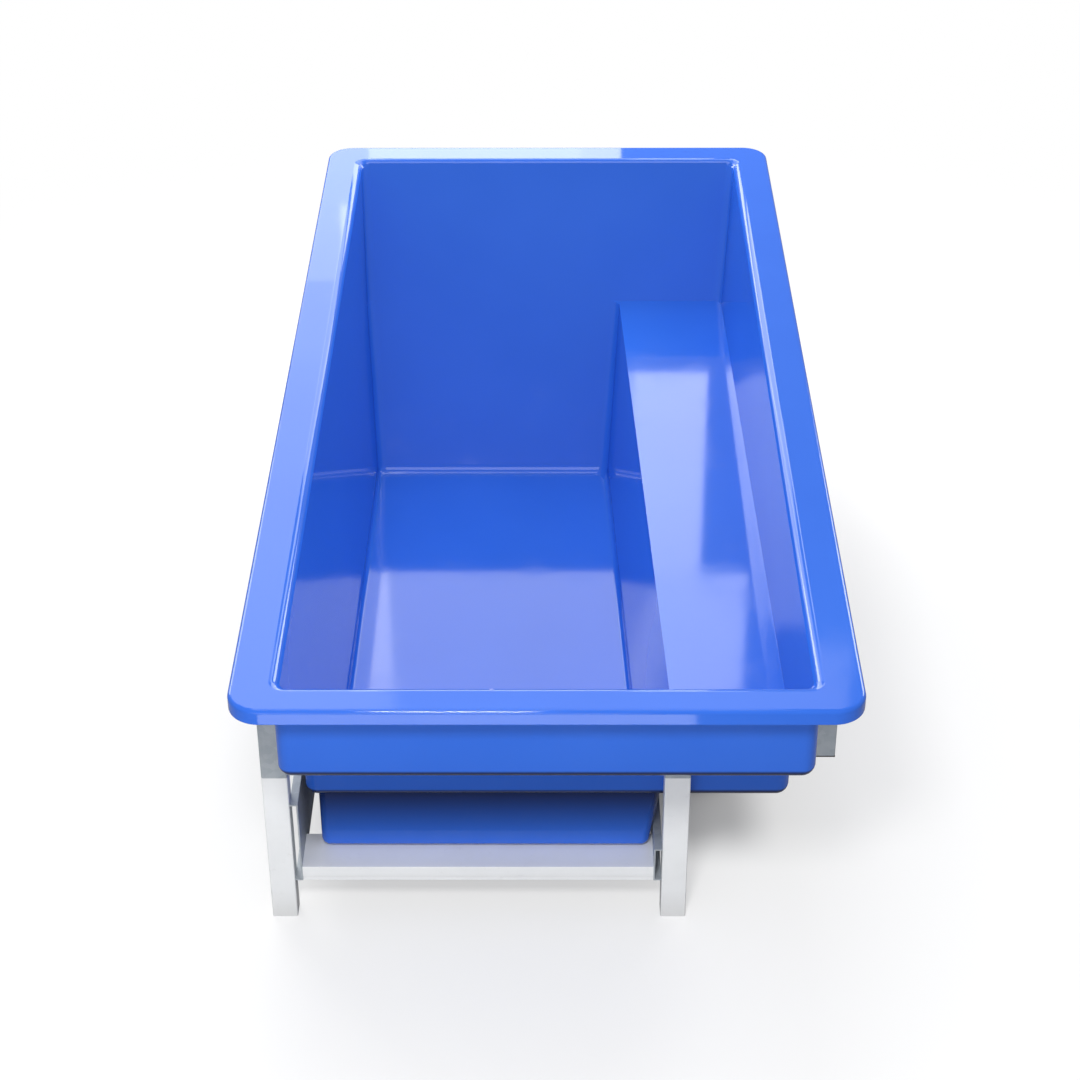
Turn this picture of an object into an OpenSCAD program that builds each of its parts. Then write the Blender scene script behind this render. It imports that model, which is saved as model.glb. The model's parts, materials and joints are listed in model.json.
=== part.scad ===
// Cold plunge tub: a glossy moulded basin with a side bench and a foot well,
// in an insulated stepped casing, on a square-tube frame with a floor drain.
// Millimetres, +Z up. The origin is on the floor, under the middle of the rim.
// X runs across the tub, Y from the near end (-Y) to the far end (+Y).

/* [Rim] */
// Width over the rim
rim_w = 1100; // [1090:2:1120]
// Length over the rim
rim_l = 2336; // [2300:4:2600]
// Height of the rim's top above the floor
rim_h = 770; // [760:5:840]
// Flat of the rim along each side
rim_side = 76; // [74:1:80]
// Flat of the rim at the near end
rim_near = 65; // [62:1:70]
// Flat of the rim at the far end
rim_far = 78; // [74:1:84]
// Thickness of the rim
rim_t = 8; // [6:0.5:10]
// Depth of the turned-down lip
lip_drop = 30; // [26:1:32]
// Thickness of the lip
lip_t = 8; // [6:0.5:10]
// Radius of the rim's outer corners
rim_r = 58; // [40:1:70]
// Rounding of the rim's outer top edge
rim_edge_r = 7; // [4:0.5:7.5]
// Radius of the mouth's corners
mouth_r = 22; // [18:1:26]
// Width of the eased edge round the mouth
mouth_ease = 10; // [8:1:11]
// Height of that eased edge
mouth_ease_h = 12; // [8:1:16]

/* [Basin] */
// Thickness of the basin's walls
basin_t = 6; // [5:0.5:6.5]
// Depth of the bench below the rim
bench_d = 284; // [270:2:290]
// Depth of the foot well below the rim
well_d = 625; // [600:5:630]
// How far the left wall leans in at bench depth
lean_left = 26; // [24:1:40]
// How far the right wall leans in at the bench's near end
lean_right_near = 14; // [12:1:24]
// How far the right wall leans in at the bench's far end
lean_right_far = 42; // [30:1:50]
// How far the near wall leans in at bench depth
lean_near = 166; // [160:2:172]
// How far the far wall leans in at bench depth
lean_far = 217; // [205:1:222]
// Distance of the bench's front edge right of the middle, near end
bench_edge_near = 236; // [220:2:240]
// The same at the far end
bench_edge_far = 179; // [160:1:220]
// Overhang of that edge past the well's floor, near end
bench_lean_near = 44; // [40:1:50]
// The same at the far end
bench_lean_far = 32; // [24:1:44]
// Distance of the well's near wall from the rim's near edge
well_near = 395; // [390:1:400]
// Slope of that wall over the well's depth
well_near_lean = 7; // [4:1:10]
// How far the left wall leans in from the bench's level to the floor, near end
foot_lean_near = 18; // [12:1:24]
// The same at the far end
foot_lean_far = 30; // [24:1:36]
// How far the far wall leans in from the bench's level to the floor
foot_lean_end = 265; // [250:5:275]
// Radius of the well's corners
well_r = 24; // [20:1:30]
// Radius of the cove round the floor
cove = 18; // [12:1:22]

/* [Casing] */
// Gap between the basin and the casing
shell_gap = 0.5; // [0.4:0.1:1]
// Height of the upper body's lower edge below the rim
upper_d = 182; // [170:2:190]
// Gap from the rim's outer edge to the upper body, sides
upper_in_x = 74; // [73:0.5:75]
// The same at both ends
upper_in_y = 57; // [54:1:58]
// Step in from the upper body to the lower body, sides
step_in = 4; // [3:0.5:4]
// Distance of the lower body's near face ahead of the foot well's near wall
lower_lead = 21; // [19:0.5:22]
// Depth of the lower body's underside below the rim
lower_d = 482; // [470:2:490]
// Rounding of the casing's corners and lower edges
casing_r = 25; // [18:1:28]
// Skin of the casing under and beside the foot well
casing_t = 5.5; // [4:0.5:6]
// Thickness of the casing below the bench at the near end
shelf_t = 6; // [5:0.5:8]

/* [Frame] */
// Width of the square tubes
tube_w = 50; // [48:1:52]
// Depth of the tubes, front to back
tube_d = 40; // [36:1:40]
// Wall of the tubes
tube_t = 3; // [2:0.5:4]
// Distance of the front legs ahead of the foot well's near wall
front_lead = 65; // [64:1:67]
// Setback of the rear legs from the rim's far edge
rear_in = 234; // [224:1:236]
// Inset of the posts' outer faces from the rim's outer edge
post_in = 2; // [1:0.5:4]
// Height of the hangers between the inner legs and the cross beams
hanger_h = 63.5; // [50:0.5:70]
// Height of the feet
foot_h = 55; // [40:1:60]
// Distance of the inner legs right of the middle
inner_leg_x = 226; // [226:1:240]
// Height of the upper cross beams
cross_h = 60; // [50:1:64]
// Height of the top rails
rail_h = 50; // [40:1:60]
// Thickness of the rubber strips under the lip
lip_pad_t = 5; // [3:0.5:8]
// Thickness of the rubber strips on the cross beams
cross_pad_t = 4; // [3:0.5:6]
// Thickness of the rubber strips under the foot well
well_pad_t = 3; // [2:0.5:5]
// Depth of the side channels, out to the legs
channel_w = 16; // [14:1:18]
// Height of the right-hand channel, which clears the leaning foot well
low_channel_h = 80; // [60:2:82]
// Thickness of the side channels
channel_t = 3; // [2:0.5:4]
// Width of the foot-well beams, front to back
well_beam_w = 100; // [90:2:120]
// Height of the foot-well beams
well_beam_h = 35; // [32:1:40]
// Height of the beams' lower lip
well_beam_lip = 9; // [6:1:12]
// Depth of the groove above that lip
well_beam_groove = 2; // [1:0.5:3]
// Thickness of the foot-well beams
well_beam_t = 4; // [3:0.5:5]
// Length of the spigots that join the legs to the frame
spigot_l = 120; // [100:2:140]

/* [Fasteners and caps] */
// Diameter of the leg bolts
bolt_d = 8; // [6:1:10]
// Diameter of their countersunk heads
bolt_head_d = 15; // [14:1:18]
// Reach of each bolt into the leg
bolt_l = 16; // [14:1:20]
// Distance of each bolt from the joint between leg and frame
bolt_off = 35; // [30:1:40]
// Plate of the end caps
cap_t = 3; // [2:0.5:4]
// Depth of the end caps' plugs
cap_plug = 14; // [10:1:20]
// Clearance of plugs, spigots and bolts
fit = 0.3; // [0.2:0.05:0.5]
// Clearance of the glued pipe sockets
glue_fit = 0.1; // [0.05:0.05:0.2]

/* [Drain] */
// Distance of the drain left of the middle
drain_x = 120; // [110:5:130]
// Distance of the drain from the rim's near edge
drain_y = 840; // [800:10:880]
// Bore of the hole for the drain's tail
drain_hole_d = 50; // [48:1:52]
// Flange of the strainer
strainer_d = 90; // [84:1:96]
// Thickness of that flange
strainer_t = 3; // [2.5:0.5:4]
// Bore through the drain
drain_bore = 34; // [30:1:36]
// Diameter of each strainer hole
strainer_hole = 6; // [5:0.5:7]
// Height of the back nut
nut_h = 12; // [10:1:14]
// Width of the back nut over its flats
nut_w = 72; // [68:1:76]
// Outer diameter of the drain pipe
pipe_d = 40; // [38:1:42]
// Wall of the drain pipe
pipe_t = 3; // [2.5:0.5:4]
// Depth of the pipe's axis below the casing
pipe_drop = 66; // [64:1:68]
// Outer diameter of the elbow
elbow_d = 52; // [50:1:54]
// Distance of the valve right of the middle
valve_x = 330; // [310:5:350]
// Length of the valve's body
valve_l = 96; // [90:2:110]
// Diameter of the valve's body
valve_d = 62; // [58:1:66]
// Diameter of the ball
ball_d = 46; // [44:1:48]
// Diameter of the stem
stem_d = 12; // [10:1:14]
// Running clearance of the stem and the ball
run_fit = 0.05; // [0.03:0.01:0.08]
// Length of the lever from the stem
lever_l = 110; // [90:5:130]
// Width of the lever
lever_w = 22; // [18:1:26]
// Thickness of the lever
lever_t = 5; // [4:0.5:6]

/* [Hidden] */

// Facets on true round shapes, and on the corners of lofted shapes
round_fn = 64;
loft_fn = 32;
// Overrun of cuts, and the thickness of a loft's end plates
over = 1;
plate = 0.02;

// Colours
blue = [0.20, 0.45, 0.92];
galv = [0.66, 0.69, 0.71];
white = [0.88, 0.89, 0.90];
dark = [0.12, 0.12, 0.13];
brass = [0.78, 0.62, 0.32];

// Places measured from the middle of the rim
near_y = -rim_l / 2;
far_y = rim_l / 2;
mouth_x = rim_w / 2 - rim_side;
mouth_near = near_y + rim_near;
mouth_far = far_y - rim_far;
wall_x = mouth_x - mouth_ease;
wall_near = mouth_near + mouth_ease;
wall_far = mouth_far - mouth_ease;

// A ring is [left near, right near, right far, left far] corners
mouth_ring = [[-mouth_x, mouth_near], [mouth_x, mouth_near], [mouth_x, mouth_far], [-mouth_x, mouth_far]];
wall_ring = [[-wall_x, wall_near], [wall_x, wall_near], [wall_x, wall_far], [-wall_x, wall_far]];
bench_left = -mouth_x + lean_left;
bench_near = mouth_near + lean_near;
bench_far = mouth_far - lean_far;
bench_ring = [[bench_left, bench_near], [mouth_x - lean_right_near, bench_near],
    [mouth_x - lean_right_far, bench_far], [bench_left, bench_far]];
well_top_ring = [[bench_left, near_y + well_near], [bench_edge_near, near_y + well_near],
    [bench_edge_far, bench_far], [bench_left, bench_far]];
floor_near = near_y + well_near + well_near_lean;
floor_far = bench_far - foot_lean_end;
floor_ring = [[bench_left + foot_lean_near, floor_near], [bench_edge_near - bench_lean_near, floor_near],
    [bench_edge_far - bench_lean_far, floor_far], [bench_left + foot_lean_far, floor_far]];

// The ring part-way from one ring to another
function between(a, b, share) = [for (i = [0 : 3]) a[i] * (1 - share) + b[i] * share];
// A ring drawn in by a distance on every side
function drawn_in(a, d) = [a[0] + [d, d], a[1] + [-d, d], a[2] + [-d, -d], a[3] + [d, -d]];
cove_share = (well_d - cove - bench_d) / (well_d - bench_d);

// Heights above the floor
rim_z = rim_h;
bench_z = rim_z - bench_d;
floor_z = rim_z - well_d;
shelf_z = bench_z - basin_t - shell_gap - shelf_t;
well_under_z = floor_z - basin_t - shell_gap - casing_t;
lower_z = rim_z - lower_d;
upper_z = rim_z - upper_d;

// Casing
casing_x = rim_w / 2 - upper_in_x;
body_x = casing_x - step_in;
lower_y = near_y + well_near - lower_lead;
skin = basin_t + shell_gap + casing_t;
// How far the far wall comes in for each millimetre down
far_slope = foot_lean_end / (well_d - bench_d);
function far_face(z) = floor_far + skin + casing_t + far_slope * (z - well_under_z);
well_box_left = bench_left + foot_lean_near - skin - basin_t;
// How far the foot well's right side stands out, at a height
function right_face(z) = bench_edge_near - bench_lean_near * (bench_z - z) / (well_d - bench_d) + skin;
well_box_right = right_face(well_under_z) + over;
panel_y = floor_near - skin - casing_t;
well_box_top = lower_z + 2 * casing_r;
well_box_r = well_r * 0.75;

// Frame
post_x = rim_w / 2 - post_in;
front_y = near_y + well_near - front_lead;
rear_y = far_y - rear_in - tube_d;
rail_top = rim_z - lip_drop - lip_pad_t;
rail_z = rail_top - rail_h;
cross_top = shelf_z - cross_pad_t;
cross_z = cross_top - cross_h;
leg_h = cross_z - hanger_h;
beam_top = well_under_z - well_pad_t;
beam_z = beam_top - well_beam_h;
channel_top = lower_z - shell_gap;
low_channel_top = beam_z + low_channel_h;
inner_tube_w = tube_w - 2 * tube_t;
inner_tube_d = tube_d - 2 * tube_t;
channel_left = -post_x + tube_w;
channel_right = inner_leg_x - channel_w;
rear_beam_y = far_face(well_under_z) - well_beam_w;

// Drain
drain_at = [-drain_x, near_y + drain_y];
pipe_z = well_under_z - pipe_drop;
gasket_t = 2;
tail_d = drain_hole_d - 2 * fit;
tail_end = well_under_z - gasket_t - nut_h - strainer_t;
elbow_top = tail_end - fit;
boss_top = pipe_z + valve_d / 2 + pipe_t;
lever_z = boss_top + fit;
nut_t = lever_t;
stem_top = lever_z + lever_t + nut_t + pipe_t;

// A thin plate over a ring, grown outwards, with rounded corners
module ring_plate(ring, z, r, grow) {
    side = [[1, 1], [-1, 1], [-1, -1], [1, -1]];
    for (i = [0 : 3])
        translate([ring[i][0] + side[i][0] * r, ring[i][1] + side[i][1] * r, z])
            cylinder(r = r + grow, h = plate, $fn = loft_fn);
}

// The solid between two rings
module loft(ring_a, z_a, r_a, ring_b, z_b, r_b, grow) {
    hull() {
        ring_plate(ring_a, z_a - plate, r_a, grow);
        ring_plate(ring_b, z_b, r_b, grow);
    }
}

// A flat slab with rounded corners
module slab(w, l, h, r) {
    for (turned = [0, 1])
        translate([-w / 2 + turned * r, -l / 2 + (1 - turned) * r, 0])
            cube([w - 2 * turned * r, l - 2 * (1 - turned) * r, h]);
    for (sx = [-1, 1], sy = [-1, 1])
        translate([sx * (w / 2 - r), sy * (l / 2 - r), 0])
            cylinder(r = r, h = h, $fn = round_fn);
}

// The same slab with its top edge rolled over, from one edge profile
module rolled_slab(w, l, h, r, edge) {
    profile = concat([[0, h], [0, 0], [r, 0]],
        [for (a = [0 : 10 : 90]) [r - edge + edge * cos(a), h - edge + edge * sin(a)]]);
    translate([r - w / 2, r - l / 2, 0]) cube([w - 2 * r, l - 2 * r, h]);
    for (turned = [0, 1], end = [0, 1]) {
        across = (turned == 0 ? w : l) / 2 - r;
        along = (turned == 0 ? l : w) / 2 - r;
        rotate([0, 0, 90 * turned + 180 * end]) {
            translate([across, along, 0]) rotate([90, 0, 0])
                linear_extrude(height = 2 * along) polygon(profile);
            translate([across, along, 0]) rotate_extrude(angle = 90, $fn = round_fn) polygon(profile);
        }
    }
}

// The basin's hollow, or its outside when grown by the wall
module hollow(grow, drop) {
    loft(wall_ring, rim_z - (grow > 0 ? rim_t / 2 : mouth_ease_h), mouth_r,
        bench_ring, bench_z - drop, mouth_r, grow);
    loft(well_top_ring, bench_z + (grow > 0 ? 0 : plate), well_r,
        between(well_top_ring, floor_ring, grow > 0 ? 1 : cove_share),
        floor_z + (grow > 0 ? -drop : cove), well_r, grow);
}

module basin() {
    color(blue) difference() {
        union() {
            difference() {
                translate([0, 0, rim_z - lip_drop]) rolled_slab(rim_w, rim_l, lip_drop, rim_r, rim_edge_r);
                translate([0, 0, rim_z - lip_drop - over])
                    slab(rim_w - 2 * lip_t, rim_l - 2 * lip_t, lip_drop - rim_t + over, rim_r - lip_t);
            }
            hollow(basin_t, basin_t);
        }
        loft(mouth_ring, rim_z + over, mouth_r, wall_ring, rim_z - mouth_ease_h, mouth_r, 0);
        hollow(0, 0);
        loft(between(well_top_ring, floor_ring, cove_share), floor_z + cove + plate, well_r,
            drawn_in(floor_ring, cove / 2), floor_z, well_r, 0);
        translate([drain_at[0], drain_at[1], floor_z - basin_t - over])
            cylinder(d = drain_hole_d, h = basin_t + 2 * over, $fn = round_fn);
    }
}

// A block with rounded corners and lower edges, its right side and far face leaning
module block(x0, x1, x1_top, y0, z0, z1, far0, far1, r) {
    hull() {
        for (right = [0, 1], end = [0, 1]) {
            translate([right == 0 ? x0 + r : x1 - r, end == 0 ? y0 + r : far0 - r, z0 + r])
                sphere(r = r, $fn = loft_fn);
            translate([right == 0 ? x0 + r : x1_top - r, end == 0 ? y0 + r : far1 - r, z1 - plate])
                cylinder(r = r, h = plate, $fn = loft_fn);
        }
    }
}

module casing() {
    rake_top = near_y + upper_in_y + casing_r / 2;
    rake_low = bench_near - skin + casing_t / 2;
    body_ring_top = [[-body_x, rake_top], [body_x, rake_top],
        [body_x, far_face(upper_z)], [-body_x, far_face(upper_z)]];
    body_ring_low = [[-body_x, rake_low], [body_x, rake_low],
        [body_x, far_face(shelf_z)], [-body_x, far_face(shelf_z)]];
    color(blue) difference() {
        union() {
            block(-casing_x, casing_x, casing_x, near_y + upper_in_y, upper_z, rim_z - rim_t,
                far_y - upper_in_y, far_y - upper_in_y, casing_r);
            loft(body_ring_top, upper_z + casing_r, casing_r, body_ring_low, shelf_z, casing_r, 0);
            block(-body_x, body_x, body_x, lower_y, lower_z, shelf_z + casing_r,
                far_face(lower_z), far_face(shelf_z + casing_r), casing_r);
            block(well_box_left, well_box_right, right_face(well_box_top), panel_y, well_under_z,
                well_box_top, far_face(well_under_z), far_face(well_box_top), well_box_r);
        }
        hollow(basin_t + shell_gap, basin_t + shell_gap);
        translate([drain_at[0], drain_at[1], well_under_z - over])
            cylinder(d = drain_hole_d, h = skin + 2 * over, $fn = round_fn);
    }
}

// A box tube standing on the given corner
module box_tube(size, along) {
    inner = [for (i = [0 : 2]) i == along ? size[i] + 2 * over : size[i] - 2 * tube_t];
    difference() {
        cube(size);
        translate([for (i = [0 : 2]) i == along ? -over : tube_t]) cube(inner);
    }
}

module top_rail(side) {
    color(galv) translate([side < 0 ? -post_x : post_x - tube_w, front_y, rail_z])
        box_tube([tube_w, rear_y + tube_d - front_y, rail_h], 1);
}

// The left-hand posts stand on legs, the right-hand ones end below the cross beams
module left_post(place) {
    color(galv) difference() {
        translate([-post_x, place[1], leg_h]) box_tube([tube_w, tube_d, rail_z - leg_h], 2);
        at_bolts(place) bolt_shape(fit);
    }
}

module right_post(y) {
    color(galv) translate([post_x - tube_w, y, cross_z]) box_tube([tube_w, tube_d, rail_z - cross_z], 2);
}

module cross_beam(y) {
    color(galv) translate([channel_left, y, cross_z]) box_tube([2 * (post_x - tube_w), tube_d, cross_h], 0);
}

// A hanger joins each inner leg to the cross beam above it
module hanger(place) {
    color(galv) difference() {
        translate([inner_leg_x, place[1], leg_h]) box_tube([tube_w, tube_d, cross_z - leg_h], 2);
        at_bolts(place) bolt_shape(fit);
    }
}

leg_places = [[-post_x, front_y, -1], [inner_leg_x, front_y, 1],
    [-post_x, rear_y, -1], [inner_leg_x, rear_y, 1]];

// A countersunk bolt's outline, standing on its point with its head upwards
module bolt_shape(grow) {
    head = (bolt_head_d - bolt_d) / 2;
    translate([0, 0, -bolt_l]) cylinder(d = bolt_d + 2 * grow, h = bolt_l, $fn = round_fn);
    translate([0, 0, -head])
        cylinder(d1 = bolt_d + 2 * grow, d2 = bolt_head_d + 2 * grow, h = head, $fn = round_fn);
}

// Two bolts go in from each leg's outer side, one below and one above the joint
module at_bolts(place) {
    outer = place[2] < 0 ? place[0] : place[0] + tube_w;
    for (dz = [-bolt_off, bolt_off])
        translate([outer, place[1] + tube_d / 2, leg_h + dz]) rotate([0, place[2] * 90, 0]) children();
}

module leg(place) {
    color(white) difference() {
        translate([place[0], place[1], foot_h]) box_tube([tube_w, tube_d, leg_h - foot_h], 2);
        at_bolts(place) bolt_shape(fit);
    }
}

module leg_feet() {
    color(white) for (p = leg_places) {
        translate([p[0], p[1], 0]) cube([tube_w, tube_d, foot_h]);
        translate([p[0] + tube_t + fit, p[1] + tube_t + fit, foot_h])
            cube([inner_tube_w - 2 * fit, inner_tube_d - 2 * fit, cap_plug]);
    }
}

module leg_spigots() {
    color(galv) for (p = leg_places) difference() {
        translate([p[0] + tube_t + fit, p[1] + tube_t + fit, leg_h - spigot_l / 2])
            box_tube([inner_tube_w - 2 * fit, inner_tube_d - 2 * fit, spigot_l], 2);
        at_bolts(p) bolt_shape(fit);
    }
}

module leg_bolts() {
    color(galv) for (p = leg_places) at_bolts(p) bolt_shape(0);
}

// Caps close the lower ends of the two right-hand posts
module post_caps() {
    color(dark) for (y = [front_y, rear_y]) {
        translate([post_x - tube_w, y, cross_z - cap_t]) cube([tube_w, tube_d, cap_t]);
        translate([post_x - tube_w + tube_t + fit, y + tube_t + fit, cross_z])
            cube([inner_tube_w - 2 * fit, inner_tube_d - 2 * fit, cap_plug]);
    }
}

// A channel with its web towards the foot well and its flanges out to the legs
module side_channel(side) {
    x = side < 0 ? channel_left : channel_right;
    web = side < 0 ? channel_w - channel_t : 0;
    l = rear_y + tube_d - front_y;
    h = (side < 0 ? channel_top : low_channel_top) - beam_z;
    color(galv) translate([x, front_y, beam_z]) {
        translate([web, 0, 0]) cube([channel_t, l, h]);
        for (z = [0, h - channel_t])
            translate([0, 0, z]) cube([channel_w, l, channel_t]);
    }
}

// The foot-well beam's section, drawn with its face at the left and its top at zero
function beam_section() = let (t = well_beam_t, g = well_beam_groove, face = well_beam_h - well_beam_lip - g)
    [[0, 0], [well_beam_w, 0], [well_beam_w, -well_beam_h], [well_beam_w - t, -well_beam_h],
        [well_beam_w - t, -t], [t + g, -t], [t + g, -well_beam_h], [g, -well_beam_h],
        [g, -well_beam_h + well_beam_lip], [2 * g, -well_beam_h + well_beam_lip],
        [2 * g, -face], [0, -face]];

module well_beam(y, turned) {
    l = channel_right - (channel_left + channel_w);
    color(white) translate([channel_left + channel_w, turned ? y + well_beam_w : y, beam_top])
        mirror([0, turned ? 1 : 0, 0])
            rotate([90, 0, 90]) linear_extrude(height = l) polygon(beam_section());
}

module lip_strips() {
    color(dark) for (x = [-post_x, post_x - tube_w])
        translate([x, front_y, rail_top]) cube([tube_w, rear_y + tube_d - front_y, lip_pad_t]);
}

module cross_beam_strips() {
    color(dark) translate([-body_x + casing_r, front_y, cross_top])
        cube([2 * (body_x - casing_r), tube_d, cross_pad_t]);
}

module well_strips() {
    inset = casing_r;
    color(dark) for (y = [panel_y + inset, rear_beam_y])
        translate([well_box_left + inset, y, beam_top])
            cube([well_box_right - well_box_left - 2 * inset, tube_d, well_pad_t]);
}

module at_drain(z) {
    translate([drain_at[0], drain_at[1], z]) children();
}

module drain_strainer() {
    color(white) difference() {
        union() {
            at_drain(floor_z) cylinder(d = strainer_d, h = strainer_t, $fn = round_fn);
            at_drain(tail_end) cylinder(d = tail_d, h = floor_z - tail_end, $fn = round_fn);
        }
        at_drain(tail_end - over) cylinder(d = drain_bore, h = floor_z - tail_end + over, $fn = round_fn);
        at_drain(floor_z - over) cylinder(d = strainer_hole, h = strainer_t + 2 * over, $fn = round_fn);
        for (a = [0 : 60 : 300])
            at_drain(floor_z - over) rotate([0, 0, a]) translate([drain_bore / 3, 0, 0])
                cylinder(d = strainer_hole, h = strainer_t + 2 * over, $fn = round_fn);
    }
}

module washer(d_out, d_in, h) {
    difference() {
        cylinder(d = d_out, h = h, $fn = round_fn);
        translate([0, 0, -over]) cylinder(d = d_in, h = h + 2 * over, $fn = round_fn);
    }
}

module drain_gasket() {
    color(dark) at_drain(well_under_z - gasket_t) washer(nut_w, drain_hole_d, gasket_t);
}

module drain_back_nut() {
    color(white) at_drain(well_under_z - gasket_t - nut_h) difference() {
        cylinder(d = nut_w, h = nut_h, $fn = 6);
        translate([0, 0, -over]) cylinder(d = drain_hole_d, h = nut_h + 2 * over, $fn = round_fn);
    }
}

// The elbow turns the drain towards the right-hand side
module drain_elbow() {
    color(white) difference() {
        union() {
            at_drain(pipe_z) cylinder(d = elbow_d, h = elbow_top - pipe_z, $fn = round_fn);
            at_drain(pipe_z) sphere(d = elbow_d, $fn = round_fn);
            at_drain(pipe_z) rotate([0, 90, 0]) cylinder(d = elbow_d, h = elbow_d, $fn = round_fn);
        }
        at_drain(pipe_z) cylinder(d = drain_bore, h = elbow_top - pipe_z + over, $fn = round_fn);
        at_drain(pipe_z) sphere(d = drain_bore, $fn = round_fn);
        at_drain(pipe_z) rotate([0, 90, 0]) cylinder(d = drain_bore, h = elbow_d + over, $fn = round_fn);
        at_drain(pipe_z) translate([elbow_d / 2, 0, 0]) rotate([0, 90, 0])
            cylinder(d = pipe_d + 2 * glue_fit, h = elbow_d, $fn = round_fn);
    }
}

pipe_start = drain_at[0] + elbow_d / 2;
valve_start = valve_x - valve_l / 2;
socket = pipe_t * 4;

module at_pipe(x) {
    translate([x, drain_at[1], pipe_z]) rotate([0, 90, 0]) children();
}

module at_valve() {
    translate([valve_x, drain_at[1], pipe_z]) children();
}

module drain_pipe() {
    color(white) at_pipe(pipe_start) washer(pipe_d, pipe_d - 2 * pipe_t, valve_start + socket - pipe_start);
}

module valve_body() {
    color(brass) difference() {
        union() {
            at_pipe(valve_start) cylinder(d = valve_d - 2 * pipe_t, h = valve_l, $fn = round_fn);
            at_valve() sphere(d = valve_d, $fn = round_fn);
            at_valve() cylinder(d = stem_d * 2, h = boss_top - pipe_z, $fn = round_fn);
        }
        at_pipe(valve_start - over) cylinder(d = drain_bore, h = valve_l + 2 * over, $fn = round_fn);
        for (x = [valve_start - over, valve_start + valve_l - socket])
            at_pipe(x) cylinder(d = pipe_d + 2 * glue_fit, h = socket + over, $fn = round_fn);
        at_valve() sphere(d = ball_d + 2 * run_fit, $fn = round_fn);
        at_valve() cylinder(d = stem_d + 2 * run_fit, h = valve_d, $fn = round_fn);
    }
}

module valve_ball() {
    color(galv) difference() {
        at_valve() sphere(d = ball_d, $fn = round_fn);
        at_pipe(valve_x - ball_d) cylinder(d = drain_bore, h = 2 * ball_d, $fn = round_fn);
        at_valve() translate([-stem_d / 2, -stem_d / 4, ball_d / 2 - pipe_t])
            cube([stem_d, stem_d / 2, pipe_t + over]);
    }
}

module valve_stem() {
    color(galv) at_valve() {
        intersection() {
            translate([0, 0, ball_d / 2 - pipe_t])
                cylinder(d = stem_d, h = pipe_t + 2 * run_fit, $fn = round_fn);
            translate([-stem_d / 2, -stem_d / 4, 0]) cube([stem_d, stem_d / 2, valve_d]);
        }
        translate([0, 0, ball_d / 2 + 2 * run_fit])
            cylinder(d = stem_d, h = stem_top - pipe_z - ball_d / 2 - 2 * run_fit, $fn = round_fn);
    }
}

// The lever lies along the pipe when the valve is open
module valve_lever() {
    color("firebrick") translate([valve_x, drain_at[1], lever_z]) difference() {
        union() {
            cylinder(d = lever_w, h = lever_t, $fn = round_fn);
            translate([0, -lever_w / 2, 0]) cube([lever_l - lever_w / 2, lever_w, lever_t]);
            translate([lever_l - lever_w / 2, 0, 0]) cylinder(d = lever_w, h = lever_t, $fn = round_fn);
        }
        translate([0, 0, -over]) cylinder(d = stem_d, h = lever_t + 2 * over, $fn = round_fn);
        translate([lever_l - lever_w / 2, 0, -over])
            cylinder(d = strainer_hole, h = lever_t + 2 * over, $fn = round_fn);
    }
}

module valve_nut() {
    color(galv) translate([valve_x, drain_at[1], lever_z + lever_t]) difference() {
        cylinder(d = stem_d * 1.8, h = nut_t, $fn = 6);
        translate([0, 0, -over]) cylinder(d = stem_d, h = nut_t + 2 * over, $fn = round_fn);
    }
}

module hose_tail() {
    l = valve_l * 0.6;
    color(white) at_pipe(valve_start + valve_l - socket) difference() {
        union() {
            cylinder(d = pipe_d, h = socket + pipe_t, $fn = round_fn);
            for (i = [0 : 3]) translate([0, 0, socket + pipe_t + i * l / 5])
                cylinder(d1 = pipe_d - pipe_t, d2 = pipe_d - 2 * pipe_t, h = l / 5, $fn = round_fn);
        }
        translate([0, 0, -over]) cylinder(d = drain_bore - 3 * pipe_t, h = valve_l, $fn = round_fn);
    }
}

basin();
casing();
top_rail(-1);  // left_top_rail
top_rail(1);  // right_top_rail
left_post(leg_places[0]);  // left_front_post
right_post(front_y);  // right_front_post
left_post(leg_places[2]);  // left_rear_post
right_post(rear_y);  // right_rear_post
cross_beam(front_y);  // front_cross_beam
cross_beam(rear_y);  // rear_cross_beam
hanger(leg_places[1]);  // front_hanger
hanger(leg_places[3]);  // rear_hanger
leg(leg_places[0]);  // left_front_leg
leg(leg_places[1]);  // right_front_leg
leg(leg_places[2]);  // left_rear_leg
leg(leg_places[3]);  // right_rear_leg
leg_feet();
leg_spigots();
leg_bolts();
post_caps();
side_channel(-1);  // left_side_channel
side_channel(1);  // right_side_channel
well_beam(front_y, false);  // front_well_beam
well_beam(rear_beam_y, true);  // rear_well_beam
lip_strips();
cross_beam_strips();
well_strips();
drain_strainer();
drain_gasket();
drain_back_nut();
drain_elbow();
drain_pipe();
valve_body();
valve_ball();
valve_stem();
valve_lever();
valve_nut();
hose_tail();
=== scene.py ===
# %% [markdown]
# # Cold plunge tub
# The tub is a glossy blue moulding in a stepped jacket of the same colour, on a frame of
# galvanised posts and white legs. The CAD gives every piece its size and place. This script
# adds the soft moulded edges, the paint and zinc, the small marks of making and use, a pale
# floor, soft lamps and the camera of the photograph.

# %% Setup
import json
import math
import bpy
from mathutils import Matrix, Vector

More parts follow.
